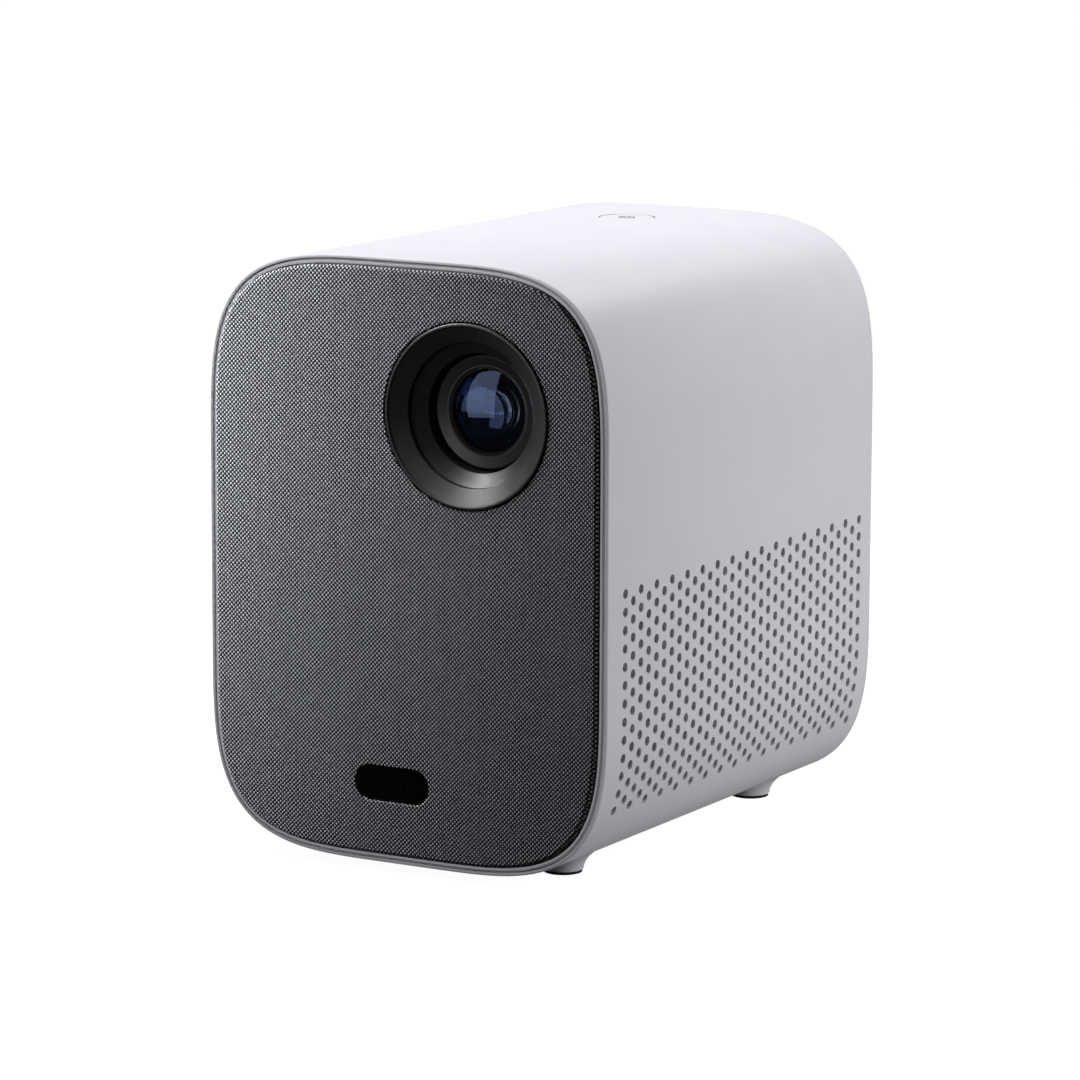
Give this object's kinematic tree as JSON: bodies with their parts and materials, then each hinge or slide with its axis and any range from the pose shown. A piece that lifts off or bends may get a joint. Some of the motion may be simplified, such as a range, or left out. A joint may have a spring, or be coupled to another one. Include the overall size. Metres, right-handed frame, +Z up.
{
  "type": "home projector",
  "caption": "Compact home projector: soft-cornered white sleeve, fabric front with a recessed focusing lens and a gloss sensor window, push button on top, rubber feet.",
  "frame": {"origin": "on the floor, in the middle of the footprint: under the rubber pads, at the centre of the overall box", "axes": "+Z up, the lens looks along -Y, +X is to the right seen from the front"},
  "size_m": [0.115, 0.1446, 0.1541],
  "materials": {
    "shell_white": "satin moulded white, faintly cool",
    "fabric_charcoal": "plain weave of light grey threads over near-black ones",
    "black_plastic": "fine matte black",
    "window_gloss": "polished black",
    "grey_plastic": "satin moulded grey",
    "rubber_black": "matte rubber",
    "lens_glass": "polished, with a blue-violet anti-reflection coating",
    "steel": "plain bright steel",
    "aluminium": "die-cast or extruded, satin",
    "copper": "satin copper",
    "brass": "machined brass",
    "board_green": "solder-masked circuit board",
    "cone_paper": "pressed black paper with a rubber surround"
  },
  "bodies": {
    "chassis": {"audio_socket": "black_plastic", "autofocus_camera": "black_plastic", "blue_led_module": "copper", "button_board": "board_green", "button_switch": "steel", "dmd_board": "board_green", "dmd_heat_sink": "aluminium", "engine_cover": "aluminium", "engine_housing": "aluminium", "fan_frame": "black_plastic", "focus_motor": "steel", "foot_front_left": "shell_white", "foot_front_right": "shell_white", "foot_pad_front_left": "rubber_black", "foot_pad_front_right": "rubber_black", "foot_pad_rear_left": "rubber_black", "foot_pad_rear_right": "rubber_black", "foot_rear_left": "shell_white", "foot_rear_right": "shell_white", "front_baffle": "black_plastic", "front_fabric": "fabric_charcoal", "front_trim_ring": "shell_white", "green_led_module": "copper", "hdmi_socket": "steel", "heat_pipe_rear": "copper", "heat_pipe_side": "copper", "heat_sink": "aluminium", "lens_bezel": "black_plastic", "lens_tube": "black_plastic", "lower_tray": "grey_plastic", "main_board": "board_green", "main_shell": "shell_white", "middle_shelf": "grey_plastic", "motor_bracket": "aluminium", "power_inlet": "black_plastic", "rear_cover": "grey_plastic", "rear_screw_1": "steel", "rear_screw_2": "steel", "rear_screw_3": "steel", "rear_screw_4": "steel", "red_led_module": "copper", "relay_prism": "lens_glass", "speaker_box_left": "black_plastic", "speaker_box_right": "black_plastic", "speaker_frame_left": "steel", "speaker_frame_right": "steel", "speaker_magnet_left": "steel", "speaker_magnet_right": "steel", "tripod_insert": "brass", "usb_socket": "steel", "window_cover": "window_gloss"},
    "button": {"power_button": "shell_white"},
    "fan_rotor": {"fan_impeller": "black_plastic"},
    "focus_ring": {"focus_ring": "grey_plastic"},
    "focus_cell": {"focus_barrel": "black_plastic", "front_lens": "lens_glass", "rear_lens": "lens_glass"},
    "pinion": {"motor_pinion": "brass"},
    "cone_left": {"speaker_cone_left": "cone_paper"},
    "cone_right": {"speaker_cone_right": "cone_paper"}
  },
  "joints": [
    {"name": "power_button_press", "type": "slide", "parent": "chassis", "child": "button", "axis": [0, 0, -1], "range_m": [0, 0.0006], "stiffness_N_per_m": 2000},
    {"name": "fan_spin", "type": "hinge", "parent": "chassis", "child": "fan_rotor", "pos_m": [0.0405, 0.028, 0.0444], "axis": [1, 0, 0], "continuous": true},
    {"name": "focus_ring_turn", "type": "hinge", "parent": "chassis", "child": "focus_ring", "pos_m": [0.0182, -0.0475, 0.11665], "axis": [0, 1, 0], "range_deg": [-60, 60]},
    {"name": "lens_focus_slide", "type": "slide", "parent": "chassis", "child": "focus_cell", "axis": [0, -1, 0], "range_m": [-0.00146, 0.00146]},
    {"name": "motor_pinion_spin", "type": "hinge", "parent": "chassis", "child": "pinion", "pos_m": [-0.00455, -0.0475, 0.11264], "axis": [0, 1, 0], "range_deg": [-218, 218]},
    {"name": "speaker_cone_left_travel", "type": "slide", "parent": "chassis", "child": "cone_left", "axis": [-1, 0, 0], "range_m": [-0.0008, 0.0008], "stiffness_N_per_m": 2000},
    {"name": "speaker_cone_right_travel", "type": "slide", "parent": "chassis", "child": "cone_right", "axis": [1, 0, 0], "range_m": [-0.0008, 0.0008], "stiffness_N_per_m": 2000}
  ],
  "couplings": [
    {"joint": "focus_ring_turn", "follows": "lens_focus_slide", "rad_per_m": 714.29},
    {"joint": "motor_pinion_spin", "follows": "lens_focus_slide", "rad_per_m": -2571.4}
  ]
}
